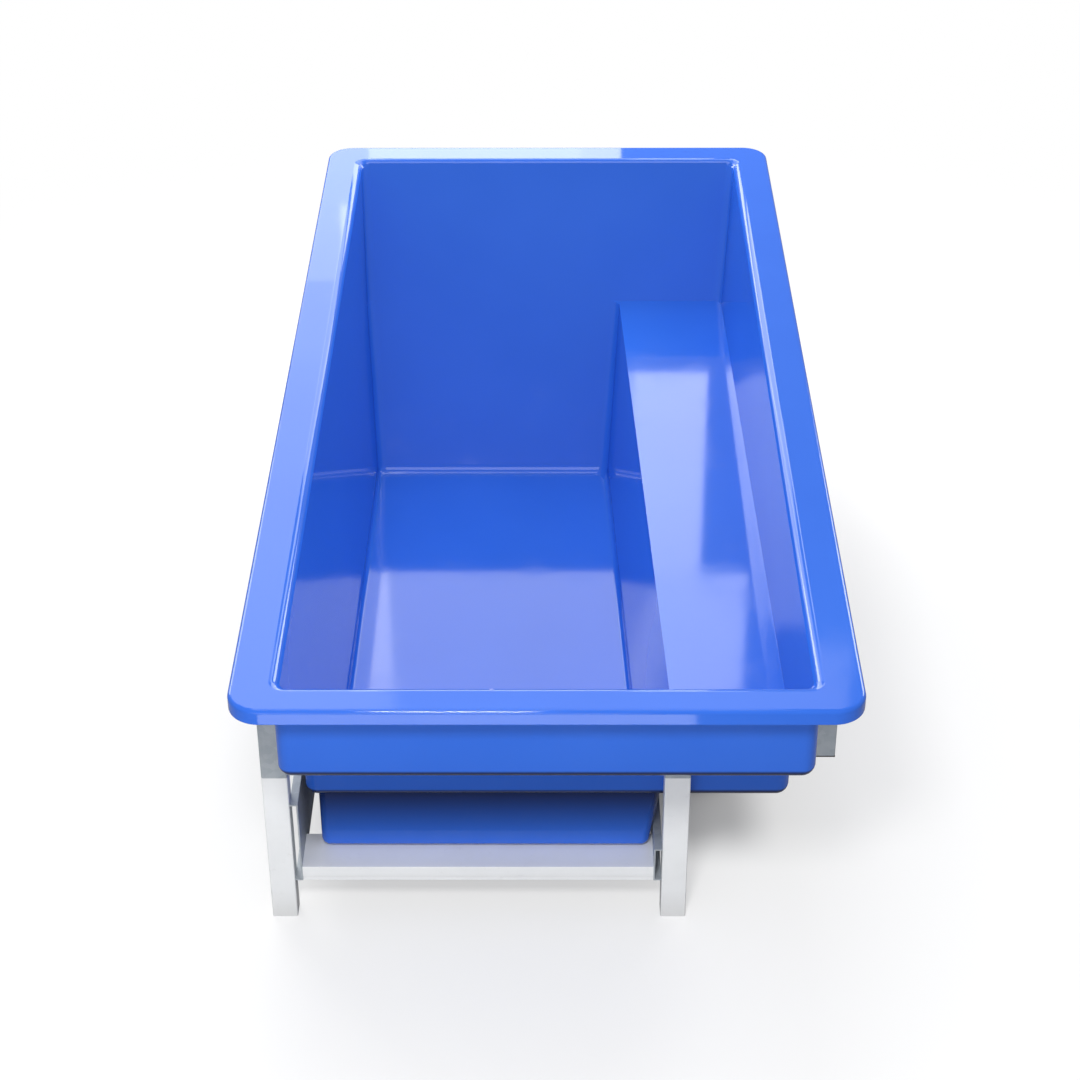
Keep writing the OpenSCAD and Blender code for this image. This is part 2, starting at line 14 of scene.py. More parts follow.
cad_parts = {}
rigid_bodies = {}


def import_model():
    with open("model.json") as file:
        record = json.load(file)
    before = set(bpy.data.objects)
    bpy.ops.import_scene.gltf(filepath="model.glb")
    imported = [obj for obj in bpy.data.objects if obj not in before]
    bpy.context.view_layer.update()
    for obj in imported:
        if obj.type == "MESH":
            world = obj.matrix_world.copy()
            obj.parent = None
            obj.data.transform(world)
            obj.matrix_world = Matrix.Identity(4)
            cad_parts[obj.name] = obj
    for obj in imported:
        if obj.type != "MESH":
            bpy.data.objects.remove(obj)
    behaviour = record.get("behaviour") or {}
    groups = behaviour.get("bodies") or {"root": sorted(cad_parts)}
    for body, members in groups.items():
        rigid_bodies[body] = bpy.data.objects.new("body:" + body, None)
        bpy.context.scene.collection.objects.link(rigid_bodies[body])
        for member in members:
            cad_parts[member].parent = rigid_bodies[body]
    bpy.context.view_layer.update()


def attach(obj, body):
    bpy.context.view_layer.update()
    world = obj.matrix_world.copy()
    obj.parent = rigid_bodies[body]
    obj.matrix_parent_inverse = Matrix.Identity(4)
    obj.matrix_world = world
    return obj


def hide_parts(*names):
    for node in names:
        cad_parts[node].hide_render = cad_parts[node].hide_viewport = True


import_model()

# %% [markdown]
# ## Named sizes
# They repeat the CAD's driving sizes in metres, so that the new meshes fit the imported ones.

# %% Sizes
MM = 0.001
RIM_W, RIM_L, RIM_Z = 1100 * MM, 2336 * MM, 770 * MM
NEAR_Y, FAR_Y = -RIM_L / 2, RIM_L / 2
# Flat of the rim along the sides, at the near end and at the far end
RIM_SIDE, RIM_NEAR, RIM_FAR = 76 * MM, 65 * MM, 78 * MM
LIP_DROP, MOUTH_EASE_H, BENCH_DEPTH = 30 * MM, 12 * MM, 284 * MM
print("rim", RIM_W, "by", RIM_L, "at", RIM_Z)


# %% [markdown]
# ## Shared helpers
# A material is a small node tree on Object coordinates. Two node groups give soft blotches
# and fine grain as plain masks, and each material mixes them as it needs, so that no surface
# is one flat colour. Writing the noise out in every material would do the same, but a group is
# built once and keeps the trees short.

# %% Node groups
def new_group(name, inputs, outputs):
    """A node group with float or colour sockets, given as (name, kind, value)."""
    group = bpy.data.node_groups.new(name, "ShaderNodeTree")
    for title, kind, value in inputs:
        socket = group.interface.new_socket(name=title, in_out="INPUT", socket_type=kind)
        socket.default_value = value
    for title, kind in outputs:
        group.interface.new_socket(name=title, in_out="OUTPUT", socket_type=kind)
    return group


def noise_group(name, detail, roughness):
    """Noise between 0 and 1 at a scale, with its contrast raised."""
    group = new_group(
        name,
        [("Scale", "NodeSocketFloat", 10.0), ("Low", "NodeSocketFloat", 0.4),
         ("High", "NodeSocketFloat", 0.6), ("Stretch", "NodeSocketVector", (1.0, 1.0, 1.0))],
        [("Mask", "NodeSocketFloat")])
    nodes, links = group.nodes, group.links
    source = nodes.new("NodeGroupInput")
    target = nodes.new("NodeGroupOutput")
    coord = nodes.new("ShaderNodeTexCoord")
    mapping = nodes.new("ShaderNodeMapping")
    noise = nodes.new("ShaderNodeTexNoise")
    noise.inputs["Detail"].default_value = detail
    noise.inputs["Roughness"].default_value = roughness
    spread = nodes.new("ShaderNodeMapRange")
    links.new(coord.outputs["Object"], mapping.inputs["Vector"])
    links.new(source.outputs["Stretch"], mapping.inputs["Scale"])
    links.new(mapping.outputs["Vector"], noise.inputs["Vector"])
    links.new(source.outputs["Scale"], noise.inputs["Scale"])
    links.new(noise.outputs["Fac"], spread.inputs["Value"])
    links.new(source.outputs["Low"], spread.inputs["From Min"])
    links.new(source.outputs["High"], spread.inputs["From Max"])
    links.new(spread.outputs["Result"], target.inputs["Mask"])
    return group


SOFT_NOISE = noise_group("soft_noise", 3.0, 0.5)
FINE_NOISE = noise_group("fine_noise", 8.0, 0.65)
print("groups", SOFT_NOISE.name, FINE_NOISE.name)


# %% [markdown]
# ## Material builder
# Each material starts from one Principled shader. Colour layers are mixed over the base one
# by one, each with its own mask, then gloss and relief are driven by the same masks.

# %% Material builder
COAT_ROUGHNESS = 0.03


def start_material(name, metallic, roughness, coat=0.0):
    """A new material with a Principled shader, and its nodes and links."""
    material = bpy.data.materials.new(name)
    material.use_nodes = True
    shader = material.node_tree.nodes["Principled BSDF"]
    shader.inputs["Metallic"].default_value = metallic
    shader.inputs["Roughness"].default_value = roughness
    shader.inputs["Coat Weight"].default_value = coat
    shader.inputs["Coat Roughness"].default_value = COAT_ROUGHNESS
    return material, shader


def mask(material, group, scale, low, high, stretch=(1.0, 1.0, 1.0)):
    """The output of one noise group in a material."""
    node = material.node_tree.nodes.new("ShaderNodeGroup")
    node.node_tree = group
    node.inputs["Scale"].default_value = scale
    node.inputs["Low"].default_value = low
    node.inputs["High"].default_value = high
    node.inputs["Stretch"].default_value = stretch
    return node.outputs["Mask"]


def mix_colour(material, base, layer, factor, strength=1.0):
    """One colour laid over another by a mask; base may be a colour or a socket."""
    nodes, links = material.node_tree.nodes, material.node_tree.links
    amount = nodes.new("ShaderNodeMath")
    amount.operation = "MULTIPLY"
    links.new(factor, amount.inputs[0])
    amount.inputs[1].default_value = strength
    mix = nodes.new("ShaderNodeMix")
    mix.data_type = "RGBA"
    links.new(amount.outputs[0], mix.inputs["Factor"])
    if isinstance(base, tuple):
        mix.inputs["A"].default_value = (*base, 1.0)
    else:
        links.new(base, mix.inputs["A"])
    mix.inputs["B"].default_value = (*layer, 1.0)
    return mix.outputs["Result"]


def drive_roughness(material, shader, factor, smooth, rough):
    """Gloss between two values by a mask."""
    nodes, links = material.node_tree.nodes, material.node_tree.links
    spread = nodes.new("ShaderNodeMapRange")
    links.new(factor, spread.inputs["Value"])
    spread.inputs["To Min"].default_value = smooth
    spread.inputs["To Max"].default_value = rough
    links.new(spread.outputs["Result"], shader.inputs["Roughness"])


def drive_bump(material, shader, factor, strength, distance):
    """Relief from a mask."""
    nodes, links = material.node_tree.nodes, material.node_tree.links
    bump = nodes.new("ShaderNodeBump")
    bump.inputs["Strength"].default_value = strength
    bump.inputs["Distance"].default_value = distance
    links.new(factor, bump.inputs["Height"])
    links.new(bump.outputs["Normal"], shader.inputs["Normal"])


def set_colour(material, shader, colour):
    """The base colour from a socket."""
    material.node_tree.links.new(colour, shader.inputs["Base Color"])


print("helpers for colour, roughness and relief")


# %% [markdown]
# ## Gel coat
# The moulding is pigmented gel coat polished to a mirror. A flat blue with full gloss would
# look like a toy, so there is a slight orange-peel wave, faint cloudiness in the pigment and
# some polishing haze. A true wavy mesh would cost too many faces. An attribute on the mesh
# marks the edges that turn under, where the photograph shows a dark line; there the blue is
# painted shade.

# %% Gel coat
PAINTED_UNDERSIDE_SHADE = "painted_underside_shade"
BLUE, CLOUDED_BLUE = (0.023, 0.120, 0.600), (0.030, 0.136, 0.640)
SHADED_BLUE = (0.002, 0.008, 0.050)
GEL_IOR = 1.40


def gel_coat():
    """Polished blue gel coat."""
    material, shader = start_material("gel_coat", metallic=0.0, roughness=0.10)
    shader.inputs["IOR"].default_value = GEL_IOR
    clouds = mask(material, SOFT_NOISE, scale=2.5, low=0.35, high=0.70)
    haze = mask(material, FINE_NOISE, scale=9.0, low=0.50, high=0.75)
    wave = mask(material, SOFT_NOISE, scale=30.0, low=0.2, high=0.8)
    colour = mix_colour(material, BLUE, CLOUDED_BLUE, clouds, strength=0.7)
    # Painted shade: the edges that the attribute marks as turning under are darkened towards a
    # near-black blue, which stands in for the shadow they lie in
    turned = material.node_tree.nodes.new("ShaderNodeAttribute")
    turned.attribute_name = PAINTED_UNDERSIDE_SHADE
    colour = mix_colour(material, colour, SHADED_BLUE, turned.outputs["Fac"], strength=0.97)
    set_colour(material, shader, colour)
    drive_roughness(material, shader, haze, smooth=0.06, rough=0.12)
    drive_bump(material, shader, wave, strength=0.02, distance=0.0006)
    return material


GEL = gel_coat()
print("material", GEL.name)


# %% [markdown]
# ## Zinc
# Hot-dip zinc shows large soft spangles and paler dull patches. Voronoi cells at low contrast
# give the spangle, noise gives the dulling, and the gloss follows both.

# %% Zinc
ZINC_DARK, ZINC_PALE = (0.33, 0.375, 0.42), (0.46, 0.50, 0.54)
ZINC_DULL, ZINC_STREAK = (0.48, 0.51, 0.54), (0.24, 0.26, 0.28)
SPANGLE_SCALE = 90.0


def zinc():
    """Hot-dip zinc on steel."""
    material, shader = start_material("zinc", metallic=0.30, roughness=0.42)
    nodes, links = material.node_tree.nodes, material.node_tree.links
    coord = nodes.new("ShaderNodeTexCoord")
    cells = nodes.new("ShaderNodeTexVoronoi")
    cells.inputs["Scale"].default_value = SPANGLE_SCALE
    links.new(coord.outputs["Object"], cells.inputs["Vector"])
    grey = nodes.new("ShaderNodeSeparateColor")
    links.new(cells.outputs["Color"], grey.inputs["Color"])
    dull = mask(material, FINE_NOISE, scale=14.0, low=0.40, high=0.65)
    streak = mask(material, FINE_NOISE, scale=8.0, low=0.50, high=0.72, stretch=(1.0, 1.0, 0.15))
    colour = mix_colour(material, ZINC_DARK, ZINC_PALE, grey.outputs["Red"], strength=0.6)
    colour = mix_colour(material, colour, ZINC_DULL, dull, strength=0.5)
    colour = mix_colour(material, colour, ZINC_STREAK, streak, strength=0.25)
    set_colour(material, shader, colour)
    drive_roughness(material, shader, dull, smooth=0.36, rough=0.58)
    drive_bump(material, shader, dull, strength=0.15, distance=0.0006)
    return material


ZINC = zinc()
print("material", ZINC.name)


# %% [markdown]
# ## White paint
# Brushed-on white over steel: a fine texture, slightly yellowed blotches, and a little dirt
# low on the legs, which the height above the floor masks.

# %% White paint
PAINT, YELLOWED_PAINT = (0.83, 0.845, 0.86), (0.77, 0.785, 0.80)
LOW_DIRT, SPECKS = (0.40, 0.38, 0.35), (0.45, 0.44, 0.42)
DIRT_TOP = 0.07


def white_paint():
    """Satin white paint on steel, a little dirty near the floor."""
    material, shader = start_material("white_paint", metallic=0.0, roughness=0.42, coat=0.1)
    nodes, links = material.node_tree.nodes, material.node_tree.links
    coord = nodes.new("ShaderNodeTexCoord")
    split = nodes.new("ShaderNodeSeparateXYZ")
    links.new(coord.outputs["Object"], split.inputs["Vector"])
    low = nodes.new("ShaderNodeMapRange")
    low.inputs["From Min"].default_value = DIRT_TOP
    low.inputs["From Max"].default_value = 0.0
    links.new(split.outputs["Z"], low.inputs["Value"])
    blotch = mask(material, FINE_NOISE, scale=9.0, low=0.42, high=0.70)
    grain = mask(material, FINE_NOISE, scale=160.0, low=0.3, high=0.7, stretch=(1.0, 1.0, 0.4))
    specks = mask(material, FINE_NOISE, scale=60.0, low=0.62, high=0.70)
    colour = mix_colour(material, PAINT, YELLOWED_PAINT, blotch, strength=0.6)
    colour = mix_colour(material, colour, LOW_DIRT, low.outputs["Result"], strength=0.22)
    colour = mix_colour(material, colour, SPECKS, specks, strength=0.12)
    set_colour(material, shader, colour)
    drive_roughness(material, shader, blotch, smooth=0.34, rough=0.50)
    drive_bump(material, shader, grain, strength=0.12, distance=0.0004)
    return material


WHITE = white_paint()
print("material", WHITE.name)


# %% [markdown]
# ## Rubber, plastic, brass, steel and the dipped lever
# The small materials share one recipe: a base and a worn or dusty layer, and a fine grain. A
# table holds their values, since five functions would only repeat the same lines.

# %% Small materials
WEAR_LOW, WEAR_HIGH, GRAIN_LOW, GRAIN_HIGH = 0.42, 0.68, 0.3, 0.7
WEAR_STRENGTH, GRAIN_DEPTH = 0.7, 0.0003


def plain_material(name, base, worn_colour, metallic, smooth, rough,
                   wear_scale, grain_scale, grain):
    """A base colour with a worn layer, gloss that follows the wear, and a fine grain."""
    material, shader = start_material(name, metallic, rough)
    worn = mask(material, FINE_NOISE, wear_scale, WEAR_LOW, WEAR_HIGH)
    fine = mask(material, FINE_NOISE, grain_scale, GRAIN_LOW, GRAIN_HIGH)
    set_colour(material, shader, mix_colour(material, base, worn_colour, worn, WEAR_STRENGTH))
    drive_roughness(material, shader, worn, smooth, rough)
    drive_bump(material, shader, fine, grain, GRAIN_DEPTH)
    return material


# Name, base, worn colour, metallic, smoothest and roughest gloss, scales of wear and grain, grain
SMALL_LOOKS = [
    ("rubber", (0.018, 0.018, 0.020), (0.045, 0.044, 0.042), 0.0, 0.55, 0.80, 30.0, 400.0, 0.3),
    ("pipe_plastic", (0.70, 0.71, 0.70), (0.60, 0.60, 0.58), 0.0, 0.28, 0.42, 18.0, 300.0, 0.1),
    ("brass", (0.62, 0.43, 0.17), (0.42, 0.30, 0.14), 1.0, 0.28, 0.50, 35.0, 500.0, 0.3),
    ("steel", (0.60, 0.61, 0.62), (0.45, 0.46, 0.47), 1.0, 0.16, 0.34, 40.0, 600.0, 0.1),
    ("lever_red", (0.48, 0.022, 0.016), (0.34, 0.02, 0.015), 0.0, 0.22, 0.38, 30.0, 300.0, 0.1),
]
RUBBER, PLASTIC, BRASS, STEEL, RED = [plain_material(*look) for look in SMALL_LOOKS]
print("materials", len(bpy.data.materials))

# %% [markdown]
# ## Looks on the CAD nodes
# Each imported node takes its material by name, and what the table leaves out is galvanised.
# Painting by body would be shorter, but the tub's body holds blue, white, zinc and plastic.

# %% Looks on the CAD nodes
LOOKS = {
    "basin": GEL, "casing": GEL, "lip_strips": RUBBER, "cross_beam_strips": RUBBER,
    "well_strips": RUBBER, "post_caps": RUBBER, "drain_gasket": RUBBER,
    "left_front_leg": WHITE, "right_front_leg": WHITE, "left_rear_leg": WHITE,
    "right_rear_leg": WHITE, "leg_feet": WHITE, "front_well_beam": WHITE,
    "rear_well_beam": WHITE, "drain_strainer": STEEL, "drain_back_nut": PLASTIC,
    "drain_elbow": PLASTIC, "drain_pipe": PLASTIC, "hose_tail": PLASTIC, "valve_body": BRASS,
    "valve_ball": STEEL, "valve_stem": STEEL, "valve_lever": RED, "valve_nut": STEEL,
}
for item in list(bpy.data.objects):
    if item.type != "MESH":
        continue
    look = LOOKS.get(item.name, ZINC)
    item.data.materials.clear()
    item.data.materials.append(look)
    print(item.name, look.name, len(item.data.polygons))

# %% [markdown]
# ## Soft mouldings
# The real basin comes out of a mould, so no edge on it is sharp: the rim rolls over, the bench
# has a soft nose and every inside corner is a cove. The CAD basin has the right planes, and
# crisp edges round the mouth, the lip and the bench. A copy of it is merged into clean faces,
# then groups of edges are picked by their place and bevelled, each group with the radius that
# the photograph shows. Modelling the same planes again by hand would only risk moving them.

# %% Copy and pick helpers
WELD_GAP = 0.04 * MM
LEAST_TURN = 0.30
NORMAL_WEIGHT = 80


def merged_copy(node_name, new_name, flat_angle):
    """A welded copy of a CAD node; a flat angle over zero joins its triangles into faces."""
    source = bpy.data.objects[node_name]
    piece = bpy.data.objects.new(new_name, source.data.copy())
    bpy.context.scene.collection.objects.link(piece)
    bpy.ops.object.select_all(action="DESELECT")
    piece.select_set(True)
    bpy.context.view_layer.objects.active = piece
    bpy.ops.object.mode_set(mode="EDIT")
    bpy.ops.mesh.select_all(action="SELECT")
    bpy.ops.mesh.remove_doubles(threshold=WELD_GAP)
    if flat_angle > 0:
        bpy.ops.mesh.dissolve_limited(angle_limit=math.radians(flat_angle))
    bpy.ops.object.mode_set(mode="OBJECT")
    print(new_name, "faces after merging", len(piece.data.polygons))
    return piece


def pick_edges(piece, test):
    """Select the edges between two faces that turn enough and whose middle passes a test."""
    bpy.ops.object.mode_set(mode="EDIT")
    bpy.ops.mesh.select_mode(type="EDGE")
    bpy.ops.mesh.select_all(action="DESELECT")
    bpy.ops.object.mode_set(mode="OBJECT")
    mesh = piece.data
    faces_of = {}
    for polygon in mesh.polygons:
        for key in polygon.edge_keys:
            faces_of.setdefault(key, []).append(polygon.normal.copy())
    count = 0
    for edge in mesh.edges:
        normals = faces_of.get(edge.key, [])
        if len(normals) != 2 or normals[0].angle(normals[1], 0.0) < LEAST_TURN:
            continue
        a, b = (mesh.vertices[i].co.copy() for i in edge.vertices)
        if test((a + b) / 2, a, b):
            edge.select = True
            count += 1
    return count


def bevel_edges(piece, test, radius, segments):
    """Round the picked edges."""
    count = pick_edges(piece, test)
    bpy.ops.object.mode_set(mode="EDIT")
    bpy.ops.mesh.bevel(offset=radius, offset_type="OFFSET", segments=segments, profile=0.5,
                       affect="EDGES", clamp_overlap=True)
    bpy.ops.object.mode_set(mode="OBJECT")
    print(piece.name, "bevelled", count, "edges by", round(radius / MM, 1), "mm")


def smooth_piece(piece, angle):
    """Smooth shading that keeps flat faces flat."""
    bpy.ops.object.select_all(action="DESELECT")
    piece.select_set(True)
    bpy.context.view_layer.objects.active = piece
    bpy.ops.object.shade_smooth_by_angle(angle=math.radians(angle))
    weighted = piece.modifiers.new("weighted", "WEIGHTED_NORMAL")
    weighted.keep_sharp = True
    weighted.weight = NORMAL_WEIGHT
    bpy.ops.object.modifier_apply(modifier=weighted.name)


# %% Basin moulding
FLAT_ANGLE, BASIN_SMOOTH = 1.2, 40
# How far an edge may lie from the height or wall that it is picked by
NEAR = 2 * MM
BENCH_Z = RIM_Z - BENCH_DEPTH
basin = merged_copy("basin", "basin_moulding", FLAT_ANGLE)


def inside_mouth(point):
    """Within the mouth's upright walls, seen from above."""
    return (abs(point.x) < RIM_W / 2 - RIM_SIDE + NEAR
            and NEAR_Y + RIM_NEAR - NEAR < point.y < FAR_Y - RIM_FAR + NEAR)


def on_mouth_top(middle, a, b):
    """The edge where the rim's top turns into the mouth."""
    return min(a.z, b.z) > RIM_Z - NEAR / 4 and inside_mouth(middle)


def on_mouth_low(middle, a, b):
    """The lower end of the eased edge round the mouth."""
    level = RIM_Z - MOUTH_EASE_H
    return abs(a.z - level) < NEAR and abs(b.z - level) < NEAR and inside_mouth(middle)


def on_lip_bottom(middle, a, b):
    """The lower edges of the turned-down lip."""
    return max(a.z, b.z) < RIM_Z - LIP_DROP + NEAR / 4 and middle.z > RIM_Z - LIP_DROP - NEAR


def on_bench(middle, a, b):
    """The bench's nose and its coves against the walls."""
    return abs(a.z - BENCH_Z) < NEAR and abs(b.z - BENCH_Z) < NEAR and inside_mouth(middle)


# Which edges, their radius, and the steps that round them
ROUNDINGS = [(on_mouth_top, 10 * MM, 6), (on_mouth_low, 4 * MM, 3),
             (on_lip_bottom, 2 * MM, 3), (on_bench, 11 * MM, 5)]
for test, radius, segments in ROUNDINGS:
    bevel_edges(basin, test, radius, segments)
smooth_piece(basin, BASIN_SMOOTH)
basin.data.materials.clear()
basin.data.materials.append(GEL)
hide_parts("basin")
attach(basin, "tub")

# %% [markdown]
# ## Jacket moulding
# The jacket's corners are already round in the CAD, in small flat facets. A welded copy with
# smooth shading by angle turns them into even curves and keeps the flat faces flat. The
# photograph shows the lower edges of the upper and the lower body a little lower than the
# solid has them, and dark where they turn under. The rings of vertices that round these edges
# move down, and an attribute marks them for the gel coat. A loose strip below each edge would
# leave a gap.
# The gel coat paints shade on the marked edges in a darker blue.

# %% Jacket moulding
JACKET_SMOOTH = 30
# The heights between which each rounding lies, and how far it moves down
EDGE_DROPS = [(587.5 * MM, 612 * MM, 17 * MM), (287.5 * MM, 312 * MM, 20 * MM)]
# The shade starts just below the rounding's top, and this slope makes it full a quarter down
SHADE_START, SHADE_SLOPE = 0.8 * MM, 4.2
jacket = merged_copy("casing", "jacket_moulding", 0.0)
# Painted shade: this attribute darkens the edges that turn under, in place of the shadow below
# them
painted_underside_shade = jacket.data.attributes.new(PAINTED_UNDERSIDE_SHADE, "FLOAT", "POINT")
for low, high, drop in EDGE_DROPS:
    moved = [vertex for vertex in jacket.data.vertices if low < vertex.co.z < high]
    for vertex in moved:
        shade = SHADE_SLOPE * (high - SHADE_START - vertex.co.z) / (high - low)
        painted_underside_shade.data[vertex.index].value = min(1.0, shade)
        vertex.co.z -= drop
    print("lower edge", len(moved), "vertices down by", round(drop / MM), "mm")
smooth_piece(jacket, JACKET_SMOOTH)
jacket.data.materials.clear()
jacket.data.materials.append(GEL)
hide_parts("casing")
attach(jacket, "tub")

# %% [markdown]
# ## Rounded tubes and channels
# Cold-drawn square tube has small round corners along its length, which catch a thin line of
# light; its cut ends stay sharp. Each steel piece is copied and only the long edges on its
# outer box are rounded. Scaling a bevelled tube made from new would do the same, but a copy
# keeps the bolt holes that are already cut. The photograph shows the joints between the legs
# and the frame a little higher than the solids have them, so their ends move up together.

# %% Rounded tubes
TOUCH = 0.1 * MM
TUBE_ROUND, SHEET_ROUND, ROUND_STEPS, TUBE_SMOOTH = 3 * MM, 0.8 * MM, 3, 35
LEG_TOP, JOINT_RISE = 346 * MM, 8 * MM
TUBES = ["left_front_post", "right_front_post", "left_rear_post", "right_rear_post",
         "left_top_rail", "right_top_rail", "front_cross_beam", "rear_cross_beam",
         "front_hanger", "rear_hanger", "left_front_leg", "right_front_leg",
         "left_rear_leg", "right_rear_leg", "leg_feet"]
SHEETS = ["left_side_channel", "right_side_channel", "front_well_beam", "rear_well_beam"]


def solid_boxes(mesh):
    """The bounding box of each loose solid in a mesh."""
    group = list(range(len(mesh.vertices)))

    def root(i):
        while group[i] != i:
            group[i] = group[group[i]]
            i = group[i]
        return i

    for edge in mesh.edges:
        group[root(edge.vertices[0])] = root(edge.vertices[1])
    boxes = {}
    for vertex in mesh.vertices:
        low, high = boxes.setdefault(root(vertex.index), (vertex.co.copy(), vertex.co.copy()))
        for i in range(3):
            low[i] = min(low[i], vertex.co[i])
            high[i] = max(high[i], vertex.co[i])
    return list(boxes.values())


def long_outer_edge(boxes):
    """A test for edges that run along a solid's longest side, on two faces of its box."""
    def test(middle, a, b):
        for low, high in boxes:
            if not all(low[i] - TOUCH <= middle[i] <= high[i] + TOUCH for i in range(3)):
                continue
            along = max(range(3), key=lambda i: high[i] - low[i])
            faces = 0
            for i in range(3):
                on_low = abs(a[i] - low[i]) < TOUCH and abs(b[i] - low[i]) < TOUCH
                on_high = abs(a[i] - high[i]) < TOUCH and abs(b[i] - high[i]) < TOUCH
                faces += i != along and (on_low or on_high)
            if faces == 2:
                return True
        return False
    return test


for node_name in TUBES + SHEETS:
    piece = merged_copy(node_name, node_name + "_drawn", FLAT_ANGLE)
    for vertex in piece.data.vertices:
        if abs(vertex.co.z - LEG_TOP) < TOUCH:
            vertex.co.z += JOINT_RISE
    look = LOOKS.get(node_name, ZINC)
    radius = SHEET_ROUND if node_name in SHEETS else TUBE_ROUND
    bevel_edges(piece, long_outer_edge(solid_boxes(piece.data)), radius, ROUND_STEPS)
    smooth_piece(piece, TUBE_SMOOTH)
    piece.data.materials.clear()
    piece.data.materials.append(look)
    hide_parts(node_name)
    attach(piece, "tub")

# %% [markdown]
# ## Weld beads
# The frame is welded and then dipped, so each joint carries a low row of overlapping drops.
# A bump map along the seam would vanish in outline; small flattened balls set in a row, half
# sunk into the tubes, catch the light as a real bead does and cost few faces.

# %% Weld beads
POST_X, TUBE_W, TUBE_D = 548 * MM, 50 * MM, 40 * MM
FRONT_FACE, REAR_FACE = -838 * MM, 934 * MM
CROSS_Z, CROSS_TOP, RAIL_Z, HANGER_X = 409.5 * MM, 469.5 * MM, 685 * MM, 226 * MM
# A drop's radius, how much of it stands out of the steel, and the step between drops
DROP_R, DROP_LOW, DROP_STEP = 3.2 * MM, 0.45, 3.8 * MM
# The drops wander along the seam by a share of the step, in a wave that never repeats evenly
WANDER, WANDER_TURN = 0.12, 2.1
DROP_SEGMENTS, DROP_RINGS = 12, 8
# Each seam: where it starts, where it ends, and the axis that points out of the steel
SEAMS = []
for face, inward in ((FRONT_FACE, 1), (REAR_FACE, -1)):
    for side in (-1, 1):
        inner_x, outer_x = side * (POST_X - TUBE_W), side * POST_X
        SEAMS.append(((inner_x, face, CROSS_Z), (inner_x, face, CROSS_TOP), 1))
        SEAMS.append(((outer_x, face, RAIL_Z), (outer_x, face + inward * TUBE_D, RAIL_Z), 0))
    SEAMS.append(((HANGER_X, face, CROSS_Z), (HANGER_X + TUBE_W, face, CROSS_Z), 1))

bpy.ops.object.select_all(action="DESELECT")
drops = []
for seam_index, (start, end, out) in enumerate(SEAMS):
    start, end = Vector(start), Vector(end)
    count = int((end - start).length / DROP_STEP)
    for i in range(1, count):
        wander = WANDER * math.sin(WANDER_TURN * i + seam_index)
        bpy.ops.mesh.primitive_uv_sphere_add(segments=DROP_SEGMENTS, ring_count=DROP_RINGS,
                                             radius=1.0,
                                             location=start.lerp(end, (i + wander) / count))
        drop = bpy.context.object
        drop.scale = [DROP_R * (DROP_LOW if axis == out else 1.0) for axis in range(3)]
        drops.append(drop)
bpy.ops.object.select_all(action="DESELECT")
for drop in drops:
    drop.select_set(True)
bpy.context.view_layer.objects.active = drops[0]
bpy.ops.object.join()
welds = bpy.context.object
bpy.ops.object.transform_apply(location=True, rotation=True, scale=True)
welds.name = "weld_beads"
bpy.ops.object.shade_smooth()
welds.data.materials.clear()
welds.data.materials.append(ZINC)
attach(welds, "tub")
print("weld beads", len(drops), "drops,", len(welds.data.polygons), "faces")

# %% [markdown]
# ## Camera
# The view was found by fitting a camera to the corners of the rim, the body and the legs in
# the photograph: a long lens, held high and aimed down along the tub, almost square to it.
# Placing it by eye would have shifted every edge, and the mirror images still more.

# %% Camera
CAMERA_AT = Vector((0.0064, -4.3185, 3.2007))
PITCH, YAW, ROLL = 33.449, 0.299, -0.188
LENS, SENSOR = 77.83, 36.0

camera_data = bpy.data.cameras.new("camera")
camera_data.lens = LENS
camera_data.sensor_width = SENSOR
camera = bpy.data.objects.new("camera", camera_data)
turn = (Matrix.Rotation(math.radians(YAW), 4, "Z")
        @ Matrix.Rotation(math.radians(90 - PITCH), 4, "X")
        @ Matrix.Rotation(math.radians(ROLL), 4, "Z"))
camera.matrix_world = Matrix.Translation(CAMERA_AT) @ turn
bpy.context.scene.collection.objects.link(camera)
bpy.context.scene.camera = camera
print("camera", tuple(camera.location))

# %% [markdown]
# ## Floor
# The background is white paper. The camera sees it as a mix of plain white glow and lit paper:
# all glow far off, about half near the tub, so that a soft shadow stays, and nearly none right
# under the tub. Every other ray meets a dimmer floor, which keeps the undersides dark as in the
# photograph. Lit paper alone would need lamps so strong that they burn out the blue.

# %% Floor
FLOOR_SIZE, PAPER, PAPER_ROUGHNESS, BOUNCE = 60.0, 0.93, 0.9, 0.38
# Between these distances from the origin the share of glow rises from the near to the far one
WHITEN_FROM, WHITEN_TO, NEAR_GLOW, FAR_GLOW = 1.2, 3.2, 0.52, 1.0
# Where the shade under the tub fades out across and along, and the share of glow that it takes
SHADE_ACROSS, SHADE_ALONG, SHADE = (0.38, 0.50), (0.56, 0.70), 0.92
bpy.ops.object.select_all(action="DESELECT")
bpy.ops.mesh.primitive_plane_add(size=FLOOR_SIZE, location=(0.0, 0.0, 0.0))
floor = bpy.context.object
floor.name = "floor"
floor_material, floor_shader = start_material("floor", metallic=0.0, roughness=PAPER_ROUGHNESS)
floor_shader.inputs["Base Color"].default_value = (PAPER, PAPER, PAPER, 1.0)
floor_shader.inputs["Specular IOR Level"].default_value = 0.0
floor_nodes, floor_links = floor_material.node_tree.nodes, floor_material.node_tree.links


def floor_ramp(value, start, end, first, last):
    """A smooth change from the first to the last level along one measure of the floor."""
    ramp = floor_nodes.new("ShaderNodeMapRange")
    ramp.interpolation_type = "SMOOTHSTEP"
    ramp.inputs["From Min"].default_value = start
    ramp.inputs["From Max"].default_value = end
    ramp.inputs["To Min"].default_value = first
    ramp.inputs["To Max"].default_value = last
    floor_links.new(value, ramp.inputs["Value"])
    return ramp.outputs["Result"]


